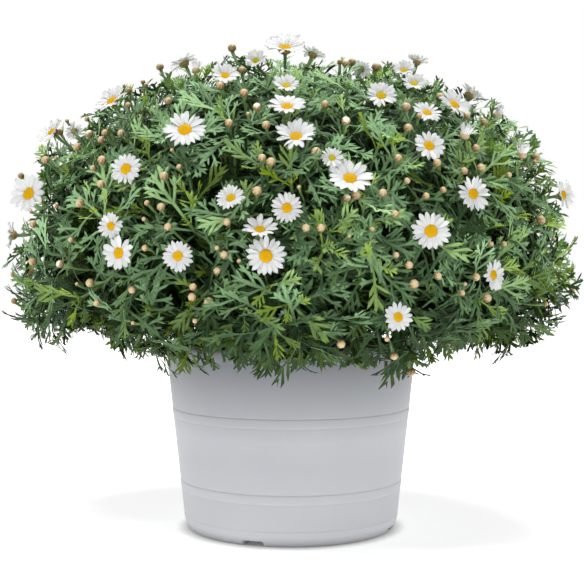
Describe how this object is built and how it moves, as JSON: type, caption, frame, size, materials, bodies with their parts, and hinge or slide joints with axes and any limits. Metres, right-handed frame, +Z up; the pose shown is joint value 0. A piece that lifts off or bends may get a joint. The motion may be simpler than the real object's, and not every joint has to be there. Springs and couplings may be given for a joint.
{
  "type": "potted marguerite daisy",
  "caption": "Bushy marguerite daisy in a tapered round pot: a squashed dome of cut leaves carries white daisies with yellow discs and round buds on thin stalks.",
  "frame": {"origin": "centre of the pot's underside, on the ground", "axes": "+Z up along the pot's axis; -Y is the side that the picture shows; +X to the right as seen from there"},
  "size_m": [0.4501, 0.4573, 0.3881],
  "materials": {
    "pot": "matte",
    "soil": "matte",
    "stem": "matte",
    "leaf": "matte",
    "bloom": "matte"
  },
  "bodies": {
    "root": {"pot": "pot", "soil": "soil", "stems": "stem", "bough_crown": "leaf", "bough_1": "leaf", "bough_2": "leaf", "bough_3": "leaf", "bough_4": "leaf", "bough_5": "leaf", "bough_6": "leaf", "bough_7": "leaf", "bough_8": "leaf", "spray_01": "bloom", "spray_02": "bloom", "spray_03": "bloom", "spray_04": "bloom", "spray_05": "bloom", "spray_06": "bloom", "spray_07": "bloom", "spray_08": "bloom", "spray_09": "bloom", "spray_10": "bloom", "spray_11": "bloom", "spray_12": "bloom", "spray_13": "bloom", "spray_14": "bloom", "spray_15": "bloom", "spray_16": "bloom", "spray_17": "bloom", "spray_18": "bloom", "spray_19": "bloom", "spray_20": "bloom", "spray_21": "bloom", "spray_22": "bloom", "spray_23": "bloom", "spray_24": "bloom", "spray_25": "bloom", "spray_26": "bloom", "spray_27": "bloom", "spray_28": "bloom", "spray_29": "bloom", "spray_30": "bloom", "spray_31": "bloom", "spray_32": "bloom", "spray_33": "bloom", "spray_34": "bloom", "spray_35": "bloom", "spray_36": "bloom", "spray_37": "bloom", "spray_38": "bloom", "spray_39": "bloom"}
  },
  "joints": []
}
